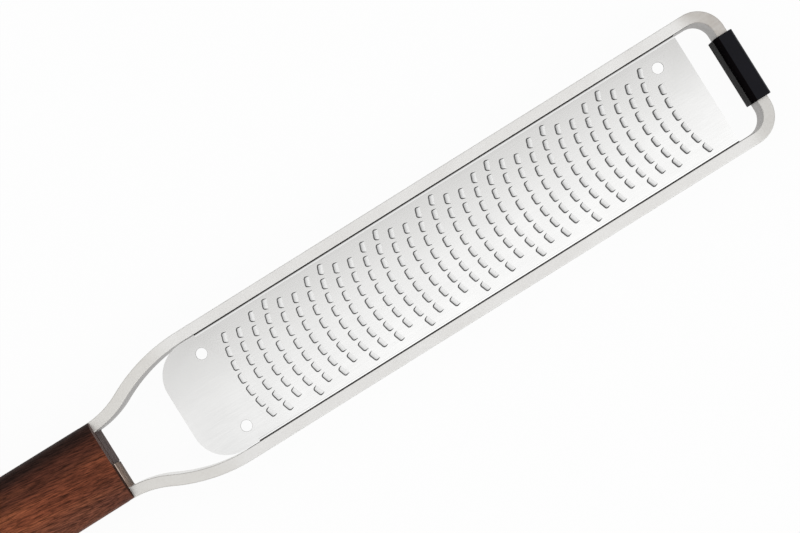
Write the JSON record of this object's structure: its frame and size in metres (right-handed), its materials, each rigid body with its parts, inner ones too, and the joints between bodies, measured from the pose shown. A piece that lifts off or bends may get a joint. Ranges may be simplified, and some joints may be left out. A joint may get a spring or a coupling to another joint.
{
  "type": "rasp zester",
  "caption": "Long hand grater for citrus zest: a flat etched blade with raised teeth, held in a bent steel bar frame, with a walnut handle and a rubber foot at the tip.",
  "frame": {"origin": "under the middle of the overall length, on the surface that the foot sleeve and the handle's belly rest on", "axes": "+X from the handle towards the tip, +Y to the left of that, +Z out of the toothed face"},
  "size_m": [0.3248, 0.038, 0.0178],
  "materials": {
    "frame_steel": "satin brushed stainless flat bar",
    "blade_steel": "fine satin etched stainless sheet",
    "foot_rubber": "matt black moulded rubber",
    "walnut": "oiled walnut, grain along the handle",
    "tang_steel": "plain steel rod, hidden in the handle"
  },
  "bodies": {
    "root": {"frame_loop": "frame_steel", "blade": "blade_steel", "foot_sleeve": "foot_rubber", "handle": "walnut", "handle_tang": "tang_steel"}
  },
  "joints": []
}
